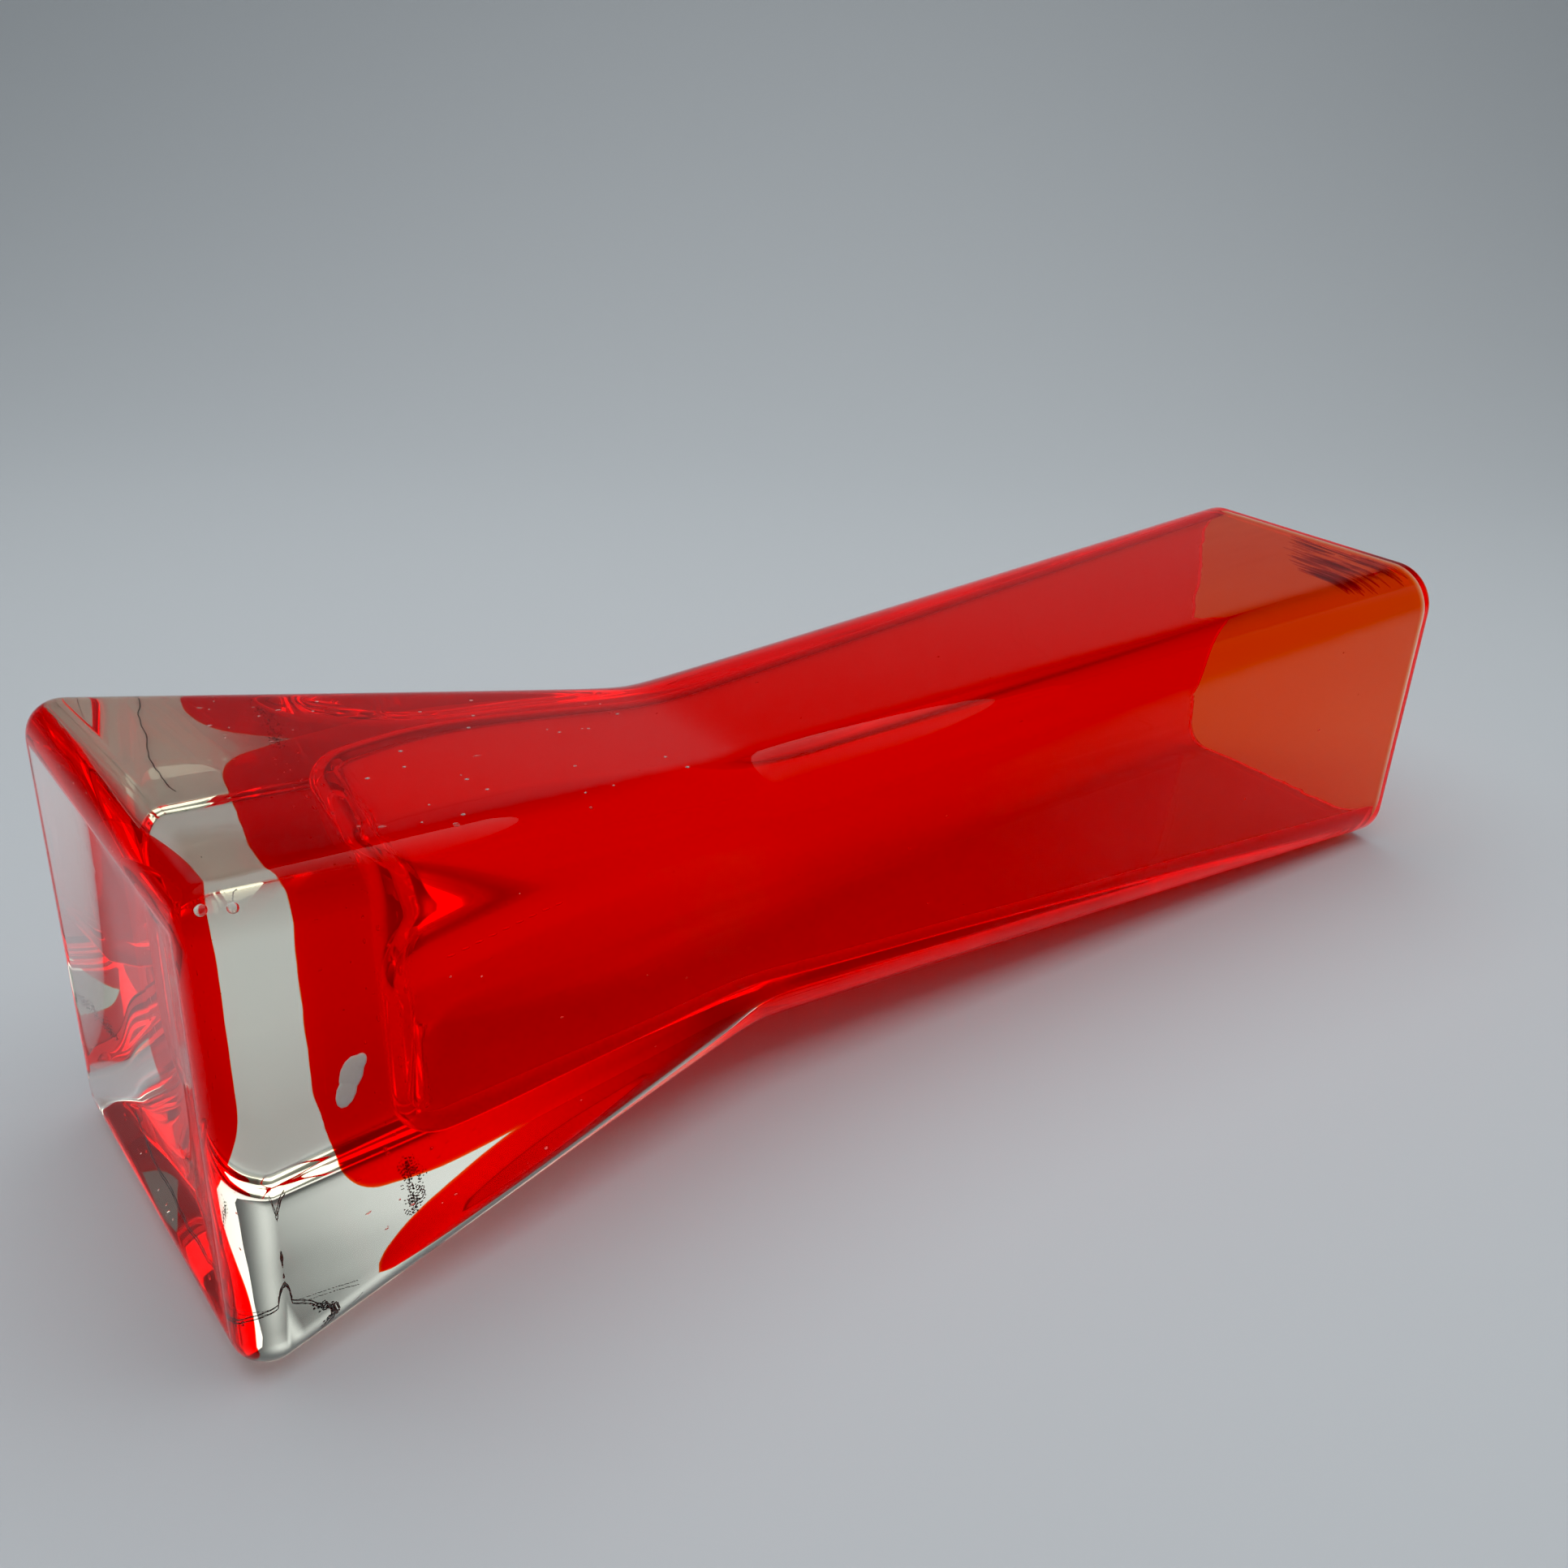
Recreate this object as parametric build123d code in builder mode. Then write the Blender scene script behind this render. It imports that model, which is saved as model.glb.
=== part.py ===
from build123d import *
import os

os.makedirs("parts", exist_ok=True)

# Square, waisted vase of cased glass, standing upright: +Z up, origin under the middle of the base.
# All sizes in millimetres; widths are across flats.

# overall form
height = 200.0
base_width = 57.4
waist_width = 38.2
mouth_width = 49.0
waist_height = 70.5
waist_blend = 5.0

# vertical corners of the outside
base_corner_radius = 5.0
waist_corner_radius = 8.5
mouth_corner_radius = 6.9

# clear casing: how much clear glass lies outside the red layer
clear_floor = 13.7
clear_wall_foot = 11.4
clear_wall_chamber = 6.0
clear_wall_waist = 3.9
clear_wall_mouth = 1.7
chamber_height = 42.0

# red lining
red_floor = 7.8
red_wall_foot = 2.4
red_wall_waist = 2.2
red_wall_mouth = 1.7
lining_corner_radius = 5.2
lining_foot_radius = 4.7

# cavity inside the red lining
bore_corner_radius = 4.4
bore_foot_radius = 4.0

# shallow square dish under the base, so that the vase stands on its rim
dish_rim = 5.0
dish_run = 11.5
dish_depth = 2.3
dish_corner_radius = 3.0

# softened edges
foot_edge_radius = 4.0
rim_outer_radius = 1.2
rim_inner_radius = 0.8

# a rounded foot turns a little tighter than the vertical corner that it runs round
foot_share = 0.92


def between(z, low, high, z_low, z_high):
    return low + (high - low) * (z - z_low) / (z_high - z_low)


def outer_width(z):
    if z < waist_height:
        return between(z, base_width, waist_width, 0.0, waist_height)
    return between(z, waist_width, mouth_width, waist_height, height)


def outer_corner(z):
    if z < waist_height:
        return between(z, base_corner_radius, waist_corner_radius, 0.0, waist_height)
    return between(z, waist_corner_radius, mouth_corner_radius, waist_height, height)


def clear_wall(z):
    if z < chamber_height:
        return between(z, clear_wall_foot, clear_wall_chamber, clear_floor, chamber_height)
    if z < waist_height:
        return between(z, clear_wall_chamber, clear_wall_waist, chamber_height, waist_height)
    return between(z, clear_wall_waist, clear_wall_mouth, waist_height, height)


def red_wall(z):
    if z < waist_height:
        return between(z, red_wall_foot, red_wall_waist, clear_floor, waist_height)
    return between(z, red_wall_waist, red_wall_mouth, waist_height, height)


def lining_width(z):
    return outer_width(z) - 2.0 * clear_wall(z)


def bore_width(z):
    return lining_width(z) - 2.0 * red_wall(z)


def blended(width, z):
    """Width at z with the waist's bend rounded off over waist_blend either side."""
    reach = abs(z - waist_height)
    if reach >= waist_blend:
        return width(z)
    low = width(waist_height - waist_blend)
    high = width(waist_height + waist_blend)
    middle = width(waist_height)
    t = (z - waist_height + waist_blend) / (2.0 * waist_blend)
    return (1 - t) ** 2 * low + 2 * t * (1 - t) * middle + t**2 * high


def foot_rounding(radius, corner):
    return min(radius, foot_share * corner)


def stations(bottom):
    """Heights of the sections, from the bottom of a layer to the rim."""
    blend = [waist_height + waist_blend * k / 3.0 for k in range(-3, 4)]
    heights = [bottom, chamber_height] + blend + [height]
    return heights


# Clear casing: a solid block with a thick clear floor, hollowed by the lining's own outside
with BuildPart() as clear_casing:
    for z in stations(0.0):
        with BuildSketch(Plane.XY.offset(z)):
            RectangleRounded(blended(outer_width, z), blended(outer_width, z), outer_corner(z))
    loft(ruled=True)
    foot = clear_casing.faces().sort_by(Axis.Z)[0]
    fillet(foot.edges(), foot_rounding(foot_edge_radius, base_corner_radius))
    fillet(clear_casing.faces().sort_by(Axis.Z)[-1].edges(), rim_outer_radius)

dish_width = base_width - 2.0 * dish_rim
with BuildPart() as base_dish:
    with BuildSketch(Plane.XY):
        RectangleRounded(dish_width, dish_width, dish_corner_radius)
    with BuildSketch(Plane.XY.offset(dish_depth)):
        RectangleRounded(dish_width - 2.0 * dish_run, dish_width - 2.0 * dish_run, dish_corner_radius)
    loft(ruled=True)

with BuildPart() as lining_envelope:
    for z in stations(clear_floor):
        with BuildSketch(Plane.XY.offset(z)):
            RectangleRounded(blended(lining_width, z), blended(lining_width, z), lining_corner_radius)
    loft(ruled=True)
    foot = lining_envelope.faces().sort_by(Axis.Z)[0]
    fillet(foot.edges(), foot_rounding(lining_foot_radius, lining_corner_radius))

with BuildPart() as bore_envelope:
    for z in stations(clear_floor + red_floor):
        with BuildSketch(Plane.XY.offset(z)):
            RectangleRounded(blended(bore_width, z), blended(bore_width, z), bore_corner_radius)
    loft(ruled=True)
    foot = bore_envelope.faces().sort_by(Axis.Z)[0]
    fillet(foot.edges(), foot_rounding(bore_foot_radius, bore_corner_radius))

with clear_casing:
    add(lining_envelope.part, mode=Mode.SUBTRACT)
    add(base_dish.part, mode=Mode.SUBTRACT)

# Red lining: the cup of coloured glass that carries the cavity
with BuildPart() as red_lining:
    add(lining_envelope.part)
    add(bore_envelope.part, mode=Mode.SUBTRACT)
    fillet(red_lining.faces().sort_by(Axis.Z)[-1].inner_wires()[0].edges(), rim_inner_radius)

clear_casing.part.label = "clear_casing"
red_lining.part.label = "red_lining"

export_step(clear_casing.part, "parts/clear_casing.step")
export_step(red_lining.part, "parts/red_lining.step")
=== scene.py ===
import math
import random

import bpy
from mathutils import Matrix, Vector, noise


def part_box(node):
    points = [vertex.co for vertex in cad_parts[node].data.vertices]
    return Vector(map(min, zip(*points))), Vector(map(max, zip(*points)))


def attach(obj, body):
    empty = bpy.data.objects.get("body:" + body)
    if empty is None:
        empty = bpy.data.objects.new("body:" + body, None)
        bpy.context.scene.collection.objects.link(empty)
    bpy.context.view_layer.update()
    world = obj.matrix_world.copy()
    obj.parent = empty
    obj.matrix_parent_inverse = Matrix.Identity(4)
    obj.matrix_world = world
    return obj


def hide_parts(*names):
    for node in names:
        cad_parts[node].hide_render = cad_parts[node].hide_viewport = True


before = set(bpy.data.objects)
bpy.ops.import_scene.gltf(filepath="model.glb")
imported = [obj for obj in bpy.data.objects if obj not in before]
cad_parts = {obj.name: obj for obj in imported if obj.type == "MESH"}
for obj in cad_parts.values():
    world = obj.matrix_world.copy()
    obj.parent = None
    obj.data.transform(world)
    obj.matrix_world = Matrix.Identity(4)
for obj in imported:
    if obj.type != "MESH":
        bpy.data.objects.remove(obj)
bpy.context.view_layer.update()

MM = 0.001

# ---- the vase's own sizes, in metres; the frame gives the ones that it holds ----
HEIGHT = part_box("clear_casing")[1].z
LINING_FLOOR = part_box("red_lining")[0].z
RED_FLOOR = 7.8 * MM
BORE_FLOOR = LINING_FLOOR + RED_FLOOR

WAIST_Z = 70.5 * MM
BASE_HALF = 28.7 * MM
WAIST_HALF = 19.1 * MM
MOUTH_HALF = 24.5 * MM
WAIST_BLEND = 0.3 * MM

BASE_CORNER = 5.0 * MM
WAIST_CORNER = 8.5 * MM
MOUTH_CORNER = 6.9 * MM
FOOT_ROUND = 4.0 * MM
RIM_OUTER_ROUND = 1.2 * MM
RIM_INNER_ROUND = 0.8 * MM

# clear glass outside the red layer, and the red layer's own wall: (height, thickness)
CLEAR_WALL = [
    (13.7 * MM, 11.4 * MM),
    (24 * MM, 8.9 * MM),
    (42 * MM, 6.0 * MM),
    (70.5 * MM, 3.9 * MM),
    (110 * MM, 3.2 * MM),
    (200 * MM, 1.7 * MM),
]
RED_WALL = [(13.7 * MM, 2.4 * MM), (70.5 * MM, 2.2 * MM), (200 * MM, 1.7 * MM)]
LINING_CORNER = 5.2 * MM
LINING_FOOT_ROUND = 5.2 * MM
BORE_CORNER = 4.4 * MM
BORE_FOOT_CORNER = 8.5 * MM
BORE_FOOT_ROUND = 7.0 * MM
FUSED_GAP = 0.03 * MM

# the gather was not quite centred when it was blown: (height, how far the red layer sits to one side)
DRIFT_X = [
    (12 * MM, 4.0 * MM),
    (24 * MM, 1.3 * MM),
    (42 * MM, -1.2 * MM),
    (60 * MM, -0.5 * MM),
    (85 * MM, 0.0 * MM),
    (200 * MM, 0.0 * MM),
]
DRIFT_Y = [
    (12 * MM, -1.0 * MM),
    (24 * MM, 0.4 * MM),
    (42 * MM, 0.0 * MM),
    (60 * MM, -0.5 * MM),
    (85 * MM, 0.0 * MM),
    (200 * MM, 0.0 * MM),
]
LINING_TILT = -0.045
BORE_TILT = -0.16
TILT_TOP = 40 * MM

# the base is a shallow square dish, so that the vase stands on its rim
DISH_DEPTH = 2.7 * MM
DISH_SLOPE_X = 0.22
DISH_SLOPE_Y = 0.50
DISH_EDGE = 23.7 * MM
DISH_BLEND = 0.35 * MM

# how far the surfaces wander, and over what lengths: (share, across, up, shift)
OUTER_RIPPLE = 0.09 * MM
OUTER_WAVES = [(0.7, 26 * MM, 34 * MM, 3.1), (0.3, 9 * MM, 15 * MM, 8.6)]
LINING_RIPPLE = 0.30 * MM
LINING_WAVES = [(0.6, 11 * MM, 13 * MM, 5.3)]
LINING_FOOT_WAVES = [(0.4, 4 * MM, 6 * MM, 1.7), (0.35, 1.7 * MM, 2.1 * MM, 2.9)]
LINING_FOOT_REACH = 45 * MM
LINING_CALM_SHARE = 0.15
LINING_RISE_SHARE = 1.2
BORE_RIPPLE = 0.12 * MM
BORE_WAVES = [(0.8, 12 * MM, 50 * MM, 6.4), (0.1, 5 * MM, 90 * MM, 2.2)]
BORE_RIM_WAVES = [(0.5, 0.9 * MM, 9 * MM, 5.8)]
TOOLED_LENGTH = 35 * MM


# ---- widths and corners at a height ----
def between(z, low, high, z_low, z_high):
    return low + (high - low) * (z - z_low) / (z_high - z_low)


def slope_at(points, i):
    before, after = points[max(i - 1, 0)], points[min(i + 1, len(points) - 1)]
    return (after[1] - before[1]) / (after[0] - before[0])


def along(z, points):
    """Smooth curve through (height, value) points."""
    last = len(points) - 1
    if z <= points[0][0]:
        return points[0][1] + (z - points[0][0]) * slope_at(points, 0)
    if z >= points[last][0]:
        return points[last][1] + (z - points[last][0]) * slope_at(points, last)
    i = max(k for k in range(last) if points[k][0] <= z)
    (z0, v0), (z1, v1) = points[i], points[i + 1]
    span = z1 - z0
    t = (z - z0) / span
    return ((1 + 2 * t) * (1 - t) ** 2 * v0 + t * (1 - t) ** 2 * span * slope_at(points, i)
            + t * t * (3 - 2 * t) * v1 - t * t * (1 - t) * span * slope_at(points, i + 1))


def soft_max(a, b, rounding):
    return 0.5 * (a + b + math.sqrt((a - b) ** 2 + 4.0 * rounding**2))


def outer_half(z):
    lower = between(z, BASE_HALF, WAIST_HALF, 0.0, WAIST_Z)
    upper = between(z, WAIST_HALF, MOUTH_HALF, WAIST_Z, HEIGHT)
    return soft_max(lower, upper, WAIST_BLEND)


def outer_corner(z):
    if z < WAIST_Z:
        return between(z, BASE_CORNER, WAIST_CORNER, 0.0, WAIST_Z)
    return between(z, WAIST_CORNER, MOUTH_CORNER, WAIST_Z, HEIGHT)


def lining_half(z):
    return outer_half(z) - along(z, CLEAR_WALL)


def lining_corner(z):
    return LINING_CORNER


def bore_half(z):
    return lining_half(z) - along(z, RED_WALL)


def bore_corner(z):
    if z < WAIST_Z:
        return between(z, BORE_FOOT_CORNER, BORE_CORNER, BORE_FLOOR, WAIST_Z)
    return BORE_CORNER


# ---- mesh building ----
SIDE_STEPS = 36
CORNER_STEPS = 12
FLOOR_STEPS = 40
FOOT_STEPS = 12
RIM_STEPS = 6
WAIST_SPAN = 6.0 * MM
WALL_STEPS = [(14 * MM, 40), (WAIST_Z - WAIST_SPAN, 34), (WAIST_Z + WAIST_SPAN, 20)]
UPPER_WALL_STEPS = 70
SMALLEST_SHARE = 0.02
SMALLEST_CORNER = 0.02 * MM
SMALLEST_FOOT_CORNER = 0.35 * MM
LARGEST_CORNER_SHARE = 0.98


def add_mesh(name, vertices, faces, material):
    """A smooth-shaded object of one material, linked into the scene."""
    mesh = bpy.data.meshes.new(name)
    mesh.from_pydata([tuple(vertex) for vertex in vertices], [], faces)
    mesh.update()
    for polygon in mesh.polygons:
        polygon.use_smooth = True
    mesh.materials.append(material)
    piece = bpy.data.objects.new(name, mesh)
    bpy.context.scene.collection.objects.link(piece)
    return piece


def square_ring(half, corner, z):
    """A rounded square at height z as (point, outward direction), anticlockwise from the +X side."""
    corner = min(corner, half * LARGEST_CORNER_SHARE)
    flat = half - corner
    ring = []
    for quarter in range(4):
        turn = Matrix.Rotation(quarter * math.pi / 2, 3, "Z")
        for i in range(SIDE_STEPS):
            point = Vector((half, -flat + 2.0 * flat * i / SIDE_STEPS, z))
            ring.append((turn @ point, turn @ Vector((1.0, 0.0, 0.0))))
        for i in range(CORNER_STEPS):
            a = math.pi / 2 * i / CORNER_STEPS
            outward = Vector((math.cos(a), math.sin(a), 0.0))
            ring.append((turn @ (Vector((flat, flat, z)) + outward * corner), turn @ outward))
    return ring


def skin(name, rings, material):
    """A closed mesh through rings of equal length, with a small flat cap at each end."""
    count = len(rings[0])
    last = (len(rings) - 1) * count
    vertices = [point for ring in rings for point in ring]
    faces = []
    for start in range(0, last, count):
        for i in range(count):
            j = (i + 1) % count
            faces.append((start + i, start + j, start + count + j, start + count + i))
    faces.append(tuple(reversed(range(count))))
    faces.append(tuple(range(last, last + count)))
    return add_mesh(name, vertices, faces, material)


def spread(low, high, steps):
    return [low + (high - low) * i / steps for i in range(steps + 1)]


def floor_rings(half, corner, z):
    """Rings that fill a flat square floor from its middle outwards."""
    shares = spread(SMALLEST_SHARE, 1.0, FLOOR_STEPS)
    return [square_ring(half * share, max(corner * share, SMALLEST_CORNER), z) for share in shares]


def cup_rings(half_at, corner_at, z0, radius, top):
    """Floor, rounded foot and wall of a cup, from the middle of its floor up to top."""
    slope = (half_at(z0 + radius + MM) - half_at(z0 + radius - MM)) / (2 * MM)
    centre = half_at(z0 + radius) - radius * math.sqrt(1 + slope * slope)
    end = -math.atan(slope)
    inner_corner = max(corner_at(z0) - radius, SMALLEST_FOOT_CORNER)
    rings = floor_rings(centre, inner_corner, z0)
    for k in range(1, FOOT_STEPS + 1):
        a = -math.pi / 2 + (end + math.pi / 2) * k / FOOT_STEPS
        z = z0 + radius * (1 + math.sin(a))
        corner = inner_corner + (corner_at(z) - inner_corner) * math.cos(a) / math.cos(end)
        rings.append(square_ring(centre + radius * math.cos(a), corner, z))
    z = z0 + radius * (1 + math.sin(end))
    for stop, steps in WALL_STEPS + [(top, UPPER_WALL_STEPS)]:
        if stop <= z:
            continue
        rings += [square_ring(half_at(h), corner_at(h), h) for h in spread(z, stop, steps)[1:]]
        z = stop
    return rings


# ---- surfaces that wander as hand-worked glass does ----
def wander(point, waves):
    """Smooth random number, about -1 to 1, that changes over each wave's lengths."""
    total = 0.0
    for share, across, up, shift in waves:
        total += share * noise.noise(Vector((point.x / across + shift, point.y / across, point.z / up)))
    return total


def fade_out(z, start, end):
    """1 at start, falling evenly to 0 at end and staying there."""
    return max(0.0, 1.0 - (z - start) / (end - start))


def drift(z):
    return Vector((along(z, DRIFT_X), along(z, DRIFT_Y), 0.0))


def dish_rise(point):
    """How far the dished underside is above the rim that the vase stands on."""
    rise_x = DISH_SLOPE_X * (DISH_EDGE - abs(point.x))
    rise_y = DISH_SLOPE_Y * (DISH_EDGE - abs(point.y))
    return max(0.0, -soft_max(-min(rise_x, rise_y), -DISH_DEPTH, DISH_BLEND))


def outer_surface(ring):
    moved = []
    for point, outward in ring:
        if point.z == 0.0:
            point.z = dish_rise(point)
        dent = OUTER_RIPPLE * (0.5 + 0.5 * wander(point, OUTER_WAVES))
        moved.append(point - outward * dent)
    return moved


def lining_surface(ring):
    moved = []
    for point, outward in ring:
        near_foot = fade_out(point.z, LINING_FLOOR, LINING_FLOOR + LINING_FOOT_REACH)
        wave = wander(point, LINING_WAVES) + near_foot * wander(point, LINING_FOOT_WAVES)
        fade = fade_out(point.z, LINING_FLOOR, TILT_TOP)
        point = point + outward * LINING_RIPPLE * wave * (LINING_CALM_SHARE + near_foot)
        point.z += (LINING_TILT * point.x + LINING_RIPPLE * LINING_RISE_SHARE * wave) * fade
        moved.append(point + drift(point.z))
    return moved


def bore_surface(ring, gap=0.0):
    moved = []
    for point, outward in ring:
        near_rim = fade_out(HEIGHT - point.z, 0.0, TOOLED_LENGTH)
        wave = wander(point, BORE_WAVES) + near_rim * wander(point, BORE_RIM_WAVES)
        fade = fade_out(point.z, BORE_FLOOR, TILT_TOP)
        point = point + outward * (BORE_RIPPLE * wave + gap)
        point.z += BORE_TILT * point.x * fade
        moved.append(point + drift(point.z))
    return moved


def bore_rings(gap):
    """Down the cavity's wall from just under the rim to the middle of its floor, gap inside the glass."""
    cup = cup_rings(bore_half, bore_corner, BORE_FLOOR, BORE_FOOT_ROUND, HEIGHT - RIM_INNER_ROUND)
    surface = [bore_surface(ring, gap) for ring in reversed(cup)]
    for ring in surface:
        for point in ring:
            point.z -= gap
    return surface


def rim_rings():
    """The rounded outer edge of the rim, upwards."""
    rings = []
    for k in range(1, RIM_STEPS + 1):
        a = math.pi / 2 * k / RIM_STEPS
        z = HEIGHT - RIM_OUTER_ROUND * (1.0 - math.sin(a))
        inset = RIM_OUTER_ROUND * (1.0 - math.cos(a))
        rings.append(square_ring(outer_half(z) - inset, outer_corner(z) - inset, z))
    return rings


def lip_rings():
    """The rounded inner edge of the rim, downwards."""
    rings = []
    for k in range(RIM_STEPS, 0, -1):
        a = math.pi / 2 * k / RIM_STEPS
        z = HEIGHT - RIM_INNER_ROUND * (1.0 - math.sin(a))
        flare = RIM_INNER_ROUND * (1.0 - math.cos(a))
        rings.append(square_ring(bore_half(z) + flare, BORE_CORNER + flare, z))
    return rings


def glass_body_rings():
    """Outside of the vase from the middle of its base to the rim, then down the cavity to its floor."""
    outside = cup_rings(outer_half, outer_corner, 0.0, FOOT_ROUND, HEIGHT - RIM_OUTER_ROUND)
    rings = [outer_surface(ring) for ring in outside + rim_rings()]
    return rings + [bore_surface(ring) for ring in lip_rings()] + bore_rings(0.0)


def lining_rings():
    """The red layer: its outside from the middle of its floor to the rim, then down beside the cavity."""
    top = HEIGHT - RIM_INNER_ROUND
    outside = cup_rings(lining_half, lining_corner, LINING_FLOOR, LINING_FOOT_ROUND, top)
    return [lining_surface(ring) for ring in outside] + bore_rings(FUSED_GAP)


# ---- materials ----
WHITE = (1.0, 1.0, 1.0, 1.0)
GLASS_IOR = 1.5
CLEAR_SHEEN = (0.12, 0.12, 0.12, 1.0)
# strength of the red glass's painted glow: a faint red light of its own, though it is no lamp
RED_PAINTED_GLOW_STRENGTH = 0.03
STREAK_IOR = 1.02


def surface_material(name, settings):
    """A material of one Principled BSDF; settings gives its inputs by name."""
    material = bpy.data.materials.new(name)
    material.use_nodes = True
    inputs = material.node_tree.nodes["Principled BSDF"].inputs
    for label, value in settings.items():
        inputs[label].default_value = value
    return material


def see_through(ior, colour=WHITE):
    """Settings of a smooth surface that light passes through."""
    return {"Base Color": colour, "Transmission Weight": 1.0, "Roughness": 0.0, "IOR": ior}


def absorb(material, colour, density):
    """Fill a material's inside with a glass that takes up light."""
    tree = material.node_tree
    volume = tree.nodes.new("ShaderNodeVolumeAbsorption")
    volume.inputs["Color"].default_value = (*colour, 1.0)
    volume.inputs["Density"].default_value = density
    tree.links.new(volume.outputs["Volume"], tree.nodes["Material Output"].inputs["Volume"])


CLEAR_GLASS = surface_material("clear_glass", see_through(GLASS_IOR) | {"Specular Tint": CLEAR_SHEEN})
absorb(CLEAR_GLASS, (0.90, 0.85, 0.50), 7.0)

# the red layer lies inside the clear glass, so its own surface doesn't bend light
# its faint red emission is painted glow, which brightens the red glass and the red light it throws on the
# floor
RED_GLASS = surface_material("red_glass", see_through(1.0) | {
    "Emission Color": (1.0, 0.03, 0.0, 1.0),
    "Emission Strength": RED_PAINTED_GLOW_STRENGTH,
})
absorb(RED_GLASS, (0.9982, 0.43, 0.0), 1900.0)

AIR = surface_material("trapped_air", see_through(GLASS_IOR))
STREAK_GLASS = surface_material("streak_glass", see_through(STREAK_IOR, (0.72, 0.50, 0.70, 1.0)))
# pale matt skin: the burst blister's own frosted colour, and painted glints on the pale specks that stand for
# bright bubbles
PALE_SKIN_AND_GLINT = surface_material("pale_skin_and_glint", {"Base Color": (1.0, 0.88, 0.86, 1.0), "Roughness": 0.35})
# dark grey flecks under the +Y side; along the crease, its branch and its knot they are painted shade
SHADE_AND_FLECK_GREY = surface_material("shade_and_fleck_grey", {"Base Color": (0.05, 0.06, 0.07, 1.0), "Roughness": 0.45})


# ---- the two layers of glass ----
casing = skin("clear_casing_glass", glass_body_rings(), CLEAR_GLASS)
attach(casing, "root")
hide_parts("clear_casing")

lining = skin("red_lining_glass", lining_rings(), RED_GLASS)
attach(lining, "root")
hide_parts("red_lining")


# ---- small egg shapes: bubbles, flecks and streaks ----
EGG_ROWS = 8
EGG_COLUMNS = 12


def egg(centre, long_way, length, width):
    """An egg drawn out along long_way, as (centre, three half axes)."""
    long_way = Vector(long_way).normalized()
    side = long_way.orthogonal().normalized()
    return Vector(centre), (side * width, long_way.cross(side) * width, long_way * length)


def egg_vertices(centre, a, b, c):
    vertices = [centre + c]
    for row in range(1, EGG_ROWS):
        tall = math.pi * row / EGG_ROWS
        for column in range(EGG_COLUMNS):
            turn = 2.0 * math.pi * column / EGG_COLUMNS
            round_way = a * math.cos(turn) + b * math.sin(turn)
            vertices.append(centre + round_way * math.sin(tall) + c * math.cos(tall))
    return vertices + [centre - c]


def egg_faces(start, end):
    """Faces of the egg whose first and last vertices are start and end."""
    faces = []
    last = end - EGG_COLUMNS
    for column in range(EGG_COLUMNS):
        after = (column + 1) % EGG_COLUMNS
        faces.append((start, start + 1 + column, start + 1 + after))
        for row in range(EGG_ROWS - 2):
            upper = start + 1 + row * EGG_COLUMNS
            lower = upper + EGG_COLUMNS
            faces.append((upper + column, lower + column, lower + after, upper + after))
        faces.append((last + after, last + column, end))
    return faces


def egg_cluster(name, eggs, material, hollow):
    """Eggs as one mesh. Hollow ones face inwards, which makes them voids in the glass."""
    vertices, faces = [], []
    for centre, axes in eggs:
        start = len(vertices)
        vertices += egg_vertices(centre, *axes)
        faces += egg_faces(start, len(vertices) - 1)
    if hollow:
        faces = [tuple(reversed(face)) for face in faces]
    return add_mesh(name, vertices, faces, material)


def wall_point(side, across, z, depth):
    """A point inside the clear glass: side 0 to 3 counts from +X, depth is how far under the outside."""
    turn = Matrix.Rotation(side * math.pi / 2, 3, "Z")
    return turn @ Vector((outer_half(z) - depth, across, z))


# ---- air bubbles ----
SEED_COUNT = 70
SEED_LOWEST = 18 * MM
SEED_SPAN = 170 * MM
SEED_DEEPEST = 6 * MM
CORNER_BLISTERS = [Vector((25.0, -26.0, 2.6)) * MM, Vector((25.9, -26.0, 4.9)) * MM]
CORNER_BLISTER_FACES = (0.7, -0.7, -0.2)
CORNER_BLISTER_HALF = 0.55 * MM
CORNER_BLISTER_FLAT = 0.10 * MM
FOOT_BUBBLE_COUNT = 46
FOOT_BUBBLE_CORNER = 0.80
STRING_COUNT = 9
STRING_START = 6 * MM
STRING_STEP = 1.7 * MM

dice = random.Random(20)


def casing_seeds():
    """Seeds in the clear glass, most of them low down."""
    seeds = []
    for n in range(SEED_COUNT):
        z = SEED_LOWEST + SEED_SPAN * dice.random() ** 1.7
        across = dice.uniform(-0.8, 0.8) * outer_half(z)
        depth = dice.uniform(0.25, 0.85) * min(along(z, CLEAR_WALL), SEED_DEEPEST)
        width = (0.08 + 0.12 * dice.random() ** 2) * MM
        length = width * dice.uniform(1.0, 3.0)
        seeds.append(egg(wall_point(n % 4, across, z, depth), (0, 0, 1), length, width))
    return seeds


def corner_blisters():
    """Two round blisters in one corner of the foot."""
    return [egg(place, CORNER_BLISTER_FACES, CORNER_BLISTER_FLAT, CORNER_BLISTER_HALF)
            for place in CORNER_BLISTERS]


def foot_bubbles():
    """Bubbles trapped round the foot of the cavity, in the red glass."""
    bubbles = []
    for n in range(FOOT_BUBBLE_COUNT):
        turn = 2.0 * math.pi * (n + 0.6 * dice.random()) / FOOT_BUBBLE_COUNT
        z = BORE_FLOOR + dice.uniform(-2.2, 2.8) * MM
        half = bore_half(BORE_FLOOR + 5 * MM) + dice.uniform(-0.1, 0.9) * MM
        place = Vector((math.cos(turn), math.sin(turn), 0.0))
        place *= half / max(abs(place.x), abs(place.y), FOOT_BUBBLE_CORNER)
        width = (0.10 + 0.22 * dice.random() ** 2) * MM
        along_foot = Vector((-place.y, place.x, dice.uniform(-1.5, 1.5) * MM))
        length = width * dice.uniform(1.0, 2.6)
        bubbles.append(egg(Vector((place.x, place.y, z)) + drift(z), along_foot, length, width))
    return bubbles


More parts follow.
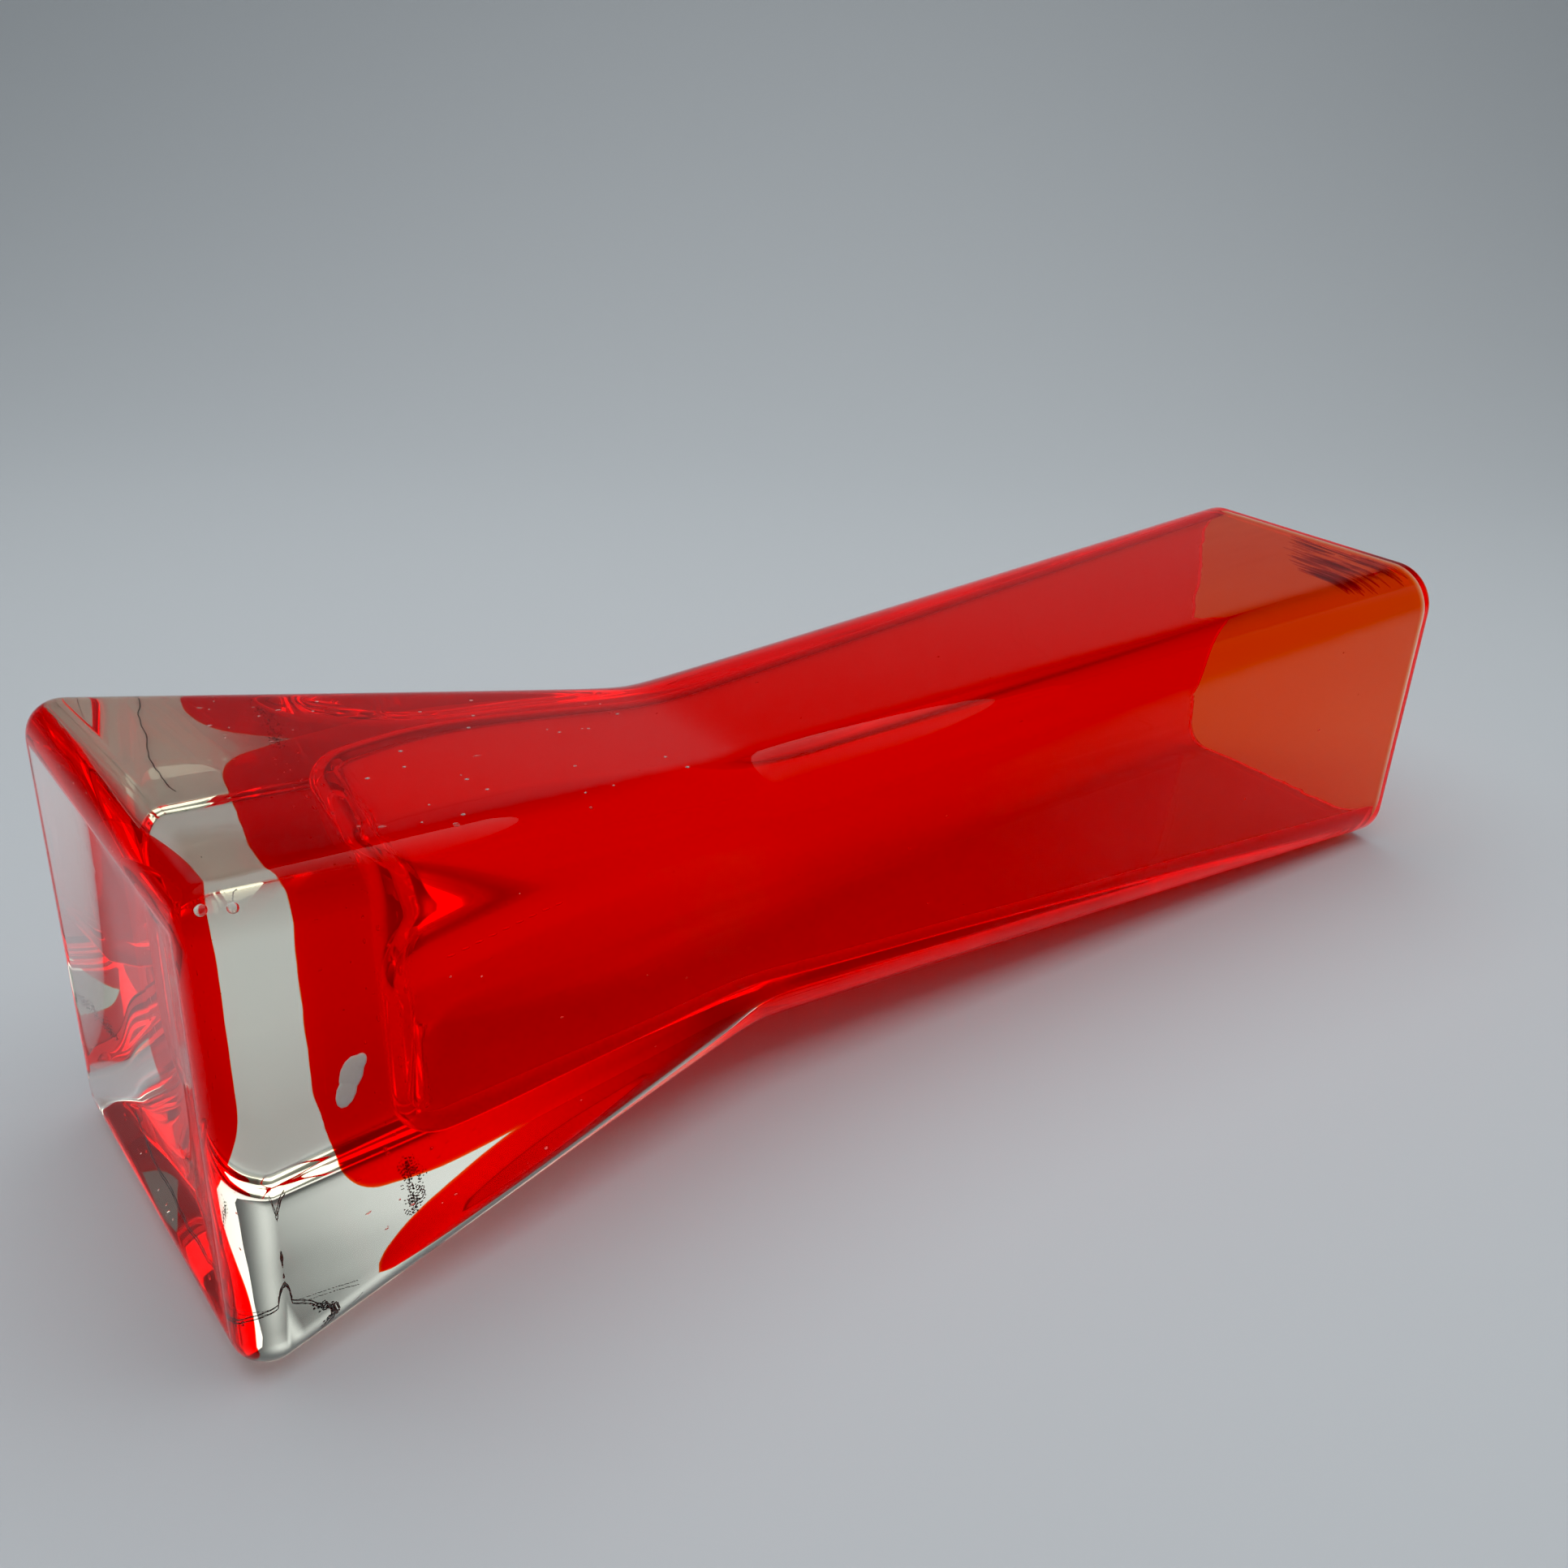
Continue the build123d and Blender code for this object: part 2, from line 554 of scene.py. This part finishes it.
def bubble_string():
    """A row of long bubbles up one corner of the cavity."""
    bubbles = []
    for n in range(STRING_COUNT):
        z = BORE_FLOOR + STRING_START + STRING_STEP * n
        x = bore_half(z) + 0.8 * MM
        y = -bore_half(z) * 0.72 - n * 0.05 * MM
        bubbles.append(egg(Vector((x, y, z)) + drift(z), (0, 0, 1), 0.55 * MM, 0.14 * MM))
    return bubbles


clear_bubbles = egg_cluster("casing_bubbles", casing_seeds() + corner_blisters(), AIR, True)
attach(clear_bubbles, "root")
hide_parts("clear_casing")

red_bubbles = egg_cluster("lining_bubbles", foot_bubbles() + bubble_string(), AIR, True)
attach(red_bubbles, "root")
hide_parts("red_lining")


# ---- the burst blister on the red layer's foot, seen through the +X side ----
BLISTER = Vector((18.9, -0.9, 14.6)) * MM
BLISTER_LONG = Vector((0.0, -5.6, 2.3)).normalized()
BLISTER_TOWARDS = Vector((0.86, -0.19, -0.47)).normalized()
BLISTER_OUT = (BLISTER_TOWARDS - BLISTER_LONG * BLISTER_TOWARDS.dot(BLISTER_LONG)).normalized()
BLISTER_SIDE = BLISTER_LONG.cross(BLISTER_OUT)
BLISTER_THICK = 0.3 * MM
BLISTER_BOW = 0.12

# its parts in millimetres: (place along it, half length, half width)
BLISTER_PARTS = [(-1.1, 1.9, 1.15), (0.9, 2.1, 1.35), (2.3, 1.0, 0.75)]


def blister_eggs():
    eggs = []
    for shift, long_half, side_half in BLISTER_PARTS:
        bow = BLISTER_BOW * shift * shift
        centre = BLISTER + (BLISTER_LONG * shift + BLISTER_SIDE * bow) * MM
        axes = (BLISTER_LONG * long_half * MM, BLISTER_SIDE * side_half * MM, BLISTER_OUT * BLISTER_THICK)
        eggs.append((centre, axes))
    return eggs


blister = egg_cluster("burst_blister", blister_eggs(), PALE_SKIN_AND_GLINT, False)
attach(blister, "root")
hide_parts("red_lining")


# ---- pale specks scattered under the -Y side, above the foot: painted glints standing in for bright small bubbles ----
SPECK_COUNT = 26
SPECK_LOWEST = 26 * MM
SPECK_SPAN = 42 * MM
SPECK_DEPTH = 0.5 * MM


def speck_eggs():
    specks = []
    for n in range(SPECK_COUNT):
        z = SPECK_LOWEST + SPECK_SPAN * dice.random() ** 1.3
        across = dice.uniform(-0.75, 0.75) * outer_half(z)
        width = dice.uniform(0.09, 0.20) * MM
        specks.append(egg(wall_point(3, across, z, SPECK_DEPTH), (0, 0, 1), width * 1.4, width))
    return specks


painted_glint_specks = egg_cluster("painted_glint_specks", speck_eggs(), PALE_SKIN_AND_GLINT, False)
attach(painted_glint_specks, "root")
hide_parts("clear_casing")


# ---- dark flecks just under the +Y side: painted shade along a wandering crease close to the foot, and a speckled patch higher up ----
FLECK_DEPTH = 0.3 * MM
FLECK_WIDTH = 0.08 * MM
CREASE_COUNT = 150
CREASE_START = -19.0 * MM
CREASE_SPAN = 37.0 * MM
CREASE_FLECK = 0.17 * MM
CREASE_PROBE = 0.2 * MM
BRANCH_COUNT = 30
BRANCH_START = 11.0 * MM
BRANCH_SPAN = 4.0 * MM
BRANCH_SLOPE = 1.1
KNOT_COUNT = 46
KNOT_START = 14.5 * MM
KNOT_SPAN = 4.0 * MM
PATCH_COUNT = 170
PATCH_START = -10.0 * MM
PATCH_SPAN = 15.5 * MM


def crease_height(x):
    """How far above the base the crease runs at x."""
    x_mm = x / MM
    wave = 0.5 * noise.noise(Vector((x_mm / 2.4, 3.7, 0.0))) + 0.9 * noise.noise(Vector((x_mm / 7, 8.1, 0.0)))
    bend = 0.45 * max(0.0, x_mm - 10)
    return (7.0 + 3.2 * math.exp(-(x_mm + 18) / 7) + bend + 0.7 * wave) * MM


def dark_fleck(x, z, length, width, lean):
    """A dark fleck at (x, z) on the +Y side, turned by lean from the X direction."""
    centre = Vector((x, outer_half(z) - FLECK_DEPTH, z))
    return egg(centre, (math.cos(lean), 0, math.sin(lean)), length, width)


def loose_fleck(x, z):
    length = dice.uniform(0.08, 0.20) * MM
    return dark_fleck(x, z, length, FLECK_WIDTH, dice.random() * 3.1)


def crease_shade_flecks():
    """Dark flecks end to end along the crease: painted shade where the crease's dark line runs."""
    dark_flecks = []
    for n in range(CREASE_COUNT):
        x = CREASE_START + CREASE_SPAN * n / (CREASE_COUNT - 1)
        z = crease_height(x)
        lean = math.atan2(crease_height(x + CREASE_PROBE) - z, CREASE_PROBE)
        dark_flecks.append(dark_fleck(x, z, CREASE_FLECK, dice.uniform(0.05, 0.11) * MM, lean))
    return dark_flecks


def branch_shade_flecks():
    """A short branch that climbs away from the crease, also painted shade."""
    dark_flecks = []
    for n in range(BRANCH_COUNT):
        x = BRANCH_START + BRANCH_SPAN * n / (BRANCH_COUNT - 1)
        z = crease_height(x) + (x - BRANCH_START) * BRANCH_SLOPE + dice.uniform(-0.1, 0.1) * MM
        dark_flecks.append(dark_fleck(x, z, 0.13 * MM, 0.045 * MM, 0.8))
    return dark_flecks


def knot_shade_flecks():
    """A thicker knot of flecks on the crease, also painted shade."""
    dark_flecks = []
    for n in range(KNOT_COUNT):
        x = KNOT_START + KNOT_SPAN * dice.random()
        dark_flecks.append(loose_fleck(x, crease_height(x) + dice.gauss(0.0, 0.3) * MM))
    return dark_flecks


def patch_flecks():
    """The speckled patch higher up."""
    dark_flecks = []
    for n in range(PATCH_COUNT):
        x = PATCH_START + PATCH_SPAN * dice.random()
        z = (24.4 - 0.010 * (x / MM + 8) ** 2 + dice.gauss(0.0, 0.6)) * MM
        dark_flecks.append(loose_fleck(x, z))
    return dark_flecks


# dark flecks: the crease, branch and knot are painted shade, the patch higher up is plain dark flecks
dark_flecks = crease_shade_flecks() + branch_shade_flecks() + knot_shade_flecks() + patch_flecks()
underside = egg_cluster("underside_dark_flecks", dark_flecks, SHADE_AND_FLECK_GREY, False)
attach(underside, "root")
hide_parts("clear_casing")


# ---- dark tooling streaks round the inside of the rim, on the -Y side ----
STREAK_COUNT = 120
STREAK_TOP = 2.2 * MM
STREAK_SPAN = 14.0 * MM
STREAK_RIGHT = 16.5
STREAK_LEFT = -1.0
STREAK_NARROWING = 13.0
STREAK_THIN = 0.05 * MM
STREAK_FALL = 0.08


def streak_eggs():
    """Long thin eggs across the wall; the lower they are, the less far they reach to the left."""
    streaks = []
    for n in range(STREAK_COUNT):
        down = dice.random() ** 1.2
        z = HEIGHT - STREAK_TOP - STREAK_SPAN * down
        left = STREAK_LEFT + STREAK_NARROWING * down
        x = (left + (STREAK_RIGHT - left) * dice.random()) * MM
        y = -bore_half(z) - dice.uniform(0.35, 1.15) * MM
        length = dice.uniform(2.0, 5.2) * MM
        tall_half = Vector((0.05, 0.0, 1.0)) * dice.uniform(0.12, 0.46) * MM
        long_half = Vector((length, 0.0, -STREAK_FALL * length))
        streaks.append((Vector((x, y, z)), (tall_half, Vector((0.0, STREAK_THIN, 0.0)), long_half)))
    return streaks


tooling = egg_cluster("tooling_streaks", streak_eggs(), STREAK_GLASS, True)
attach(tooling, "root")
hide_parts("red_lining")


# ---- stage: the vase lies on its +Y side on a pale sweep ----
FLOOR_FOOT = Vector((0.0, 28.16 * MM, 3.5 * MM))
FLOOR_RIM = Vector((0.0, 24.5 * MM, 199.0 * MM))
ALONG = (FLOOR_RIM - FLOOR_FOOT).normalized()
UP = Vector((1.0, 0.0, 0.0)).cross(ALONG).normalized()

# the camera looks down on the floor; BACKWARDS is its direction along the floor
CAMERA_AT = Vector((145.05, -97.24, -29.93)) * MM
LOOK = Vector((-0.69909, 0.44014, 0.56351)).normalized()
CAMERA_DOWN = Vector((0.37616, 0.89661, -0.23364))
BACKWARDS = (LOOK - UP * LOOK.dot(UP)).normalized()
ACROSS = BACKWARDS.cross(UP).normalized()

SWEEP_NEAR = -0.6
SWEEP_FAR = 0.32
SWEEP_CURVE = 0.40
SWEEP_LEAN = math.radians(85)
SWEEP_WALL = 3.0
SWEEP_WIDTH = 6.0
SWEEP_STEPS = 24
SWEEP_CLEARANCE = 0.02 * MM


def stage_material(name, colour):
    """A matt pale sweep that is only there from its front, so a camera behind it sees through."""
    material = bpy.data.materials.new(name)
    material.use_nodes = True
    nodes, links = material.node_tree.nodes, material.node_tree.links
    nodes.clear()
    output = nodes.new("ShaderNodeOutputMaterial")
    diffuse = nodes.new("ShaderNodeBsdfDiffuse")
    diffuse.inputs["Color"].default_value = (*colour, 1.0)
    clear = nodes.new("ShaderNodeBsdfTransparent")
    geometry = nodes.new("ShaderNodeNewGeometry")
    mix = nodes.new("ShaderNodeMixShader")
    links.new(geometry.outputs["Backfacing"], mix.inputs["Fac"])
    links.new(diffuse.outputs["BSDF"], mix.inputs[1])
    links.new(clear.outputs["BSDF"], mix.inputs[2])
    links.new(mix.outputs["Shader"], output.inputs["Surface"])
    return material


def sweep_profile():
    """(distance, height) along a floor that runs away from the camera and curves up into a wall."""
    profile = [(SWEEP_NEAR, 0.0), (SWEEP_FAR, 0.0)]
    for i in range(1, SWEEP_STEPS + 1):
        a = SWEEP_LEAN * i / SWEEP_STEPS
        profile.append((SWEEP_FAR + SWEEP_CURVE * math.sin(a), SWEEP_CURVE * (1.0 - math.cos(a))))
    end, high = profile[-1]
    profile.append((end + SWEEP_WALL * math.cos(SWEEP_LEAN), high + SWEEP_WALL * math.sin(SWEEP_LEAN)))
    return profile


def build_sweep():
    vertices = []
    profile = sweep_profile()
    for distance, height in profile:
        middle = FLOOR_FOOT + BACKWARDS * distance + UP * (height - SWEEP_CLEARANCE)
        vertices += [middle - ACROSS * SWEEP_WIDTH / 2, middle + ACROSS * SWEEP_WIDTH / 2]
    faces = [(2 * i, 2 * i + 1, 2 * i + 3, 2 * i + 2) for i in range(len(profile) - 1)]
    sweep = add_mesh("sweep", vertices, faces, stage_material("sweep_paper", (0.72, 0.76, 0.79)))
    if sweep.data.polygons[0].normal.dot(UP) < 0:
        sweep.data.flip_normals()
    return sweep


sweep = build_sweep()


# ---- light: a soft bright sky over the floor, dim towards the horizon, and two soft lamps ----
SKY_POLE = (UP + BACKWARDS * 0.8).normalized()
SKY_COLOUR = (0.92, 0.97, 1.0, 1.0)
SKY_EDGE = -0.15
SKY_HORIZON = 0.08
SKY_TOP = 0.62


def build_sky():
    world = bpy.data.worlds.new("studio")
    bpy.context.scene.world = world
    world.use_nodes = True
    nodes, links = world.node_tree.nodes, world.node_tree.links
    background = nodes["Background"]
    background.inputs["Color"].default_value = SKY_COLOUR
    direction = nodes.new("ShaderNodeTexCoord")
    height_above = nodes.new("ShaderNodeVectorMath")
    height_above.operation = "DOT_PRODUCT"
    height_above.inputs[1].default_value = SKY_POLE
    glow = nodes.new("ShaderNodeMapRange")
    glow.interpolation_type = "SMOOTHSTEP"
    glow.inputs["From Min"].default_value = SKY_EDGE
    glow.inputs["From Max"].default_value = 1.0
    glow.inputs["To Min"].default_value = SKY_HORIZON
    glow.inputs["To Max"].default_value = SKY_TOP
    links.new(direction.outputs["Generated"], height_above.inputs[0])
    links.new(height_above.outputs["Value"], glow.inputs["Value"])
    links.new(glow.outputs["Result"], background.inputs["Strength"])


def area_light(name, at, towards, size, power):
    light = bpy.data.lights.new(name, "AREA")
    light.shape = "SQUARE"
    light.size = size
    light.energy = power
    lamp = bpy.data.objects.new(name, light)
    lamp.location = at
    lamp.rotation_mode = "QUATERNION"
    lamp.rotation_quaternion = (towards - at).to_track_quat("-Z", "Y")
    bpy.context.scene.collection.objects.link(lamp)
    return light


build_sky()

MIDDLE = Vector((0.0, 0.0, HEIGHT / 2))
area_light("overhead", MIDDLE + UP * 0.42 + BACKWARDS * 0.02, MIDDLE, 0.6, 1.3)

WALL_HIGH = MIDDLE + UP * 0.85 + BACKWARDS * 0.72 - ACROSS * 0.72
wall_wash = area_light("wall_wash", WALL_HIGH - BACKWARDS * 0.6 + ACROSS * 0.1, WALL_HIGH, 0.35, 0.75)
wall_wash.spread = math.radians(80)


# ---- camera ----
SENSOR_WIDTH = 36.0
LENS = 35.23
CLIP_START = 0.005
CLIP_END = 20.0


def build_camera():
    data = bpy.data.cameras.new("camera")
    data.sensor_width = SENSOR_WIDTH
    data.lens = LENS
    data.clip_start = CLIP_START
    data.clip_end = CLIP_END
    camera = bpy.data.objects.new("camera", data)
    right = LOOK.cross(-CAMERA_DOWN).normalized()
    up = right.cross(LOOK).normalized()
    facing = Matrix((right, up, -LOOK)).transposed().to_4x4()
    camera.matrix_world = Matrix.Translation(CAMERA_AT) @ facing
    bpy.context.scene.collection.objects.link(camera)
    bpy.context.scene.camera = camera


build_camera()


# ---- picture: the darkest tones are taken down to black, which keeps the reds pure ----
BLACK_LEVEL = 0.014

view = bpy.context.scene.view_settings
view.view_transform = "Standard"
view.use_curve_mapping = True
view.curve_mapping.black_level = (BLACK_LEVEL, BLACK_LEVEL, BLACK_LEVEL)
view.curve_mapping.update()

# light crosses many surfaces inside the layered glass
paths = bpy.context.scene.cycles
paths.max_bounces = 40
paths.transmission_bounces = 40
paths.glossy_bounces = 24
paths.diffuse_bounces = 4
paths.transparent_max_bounces = 24
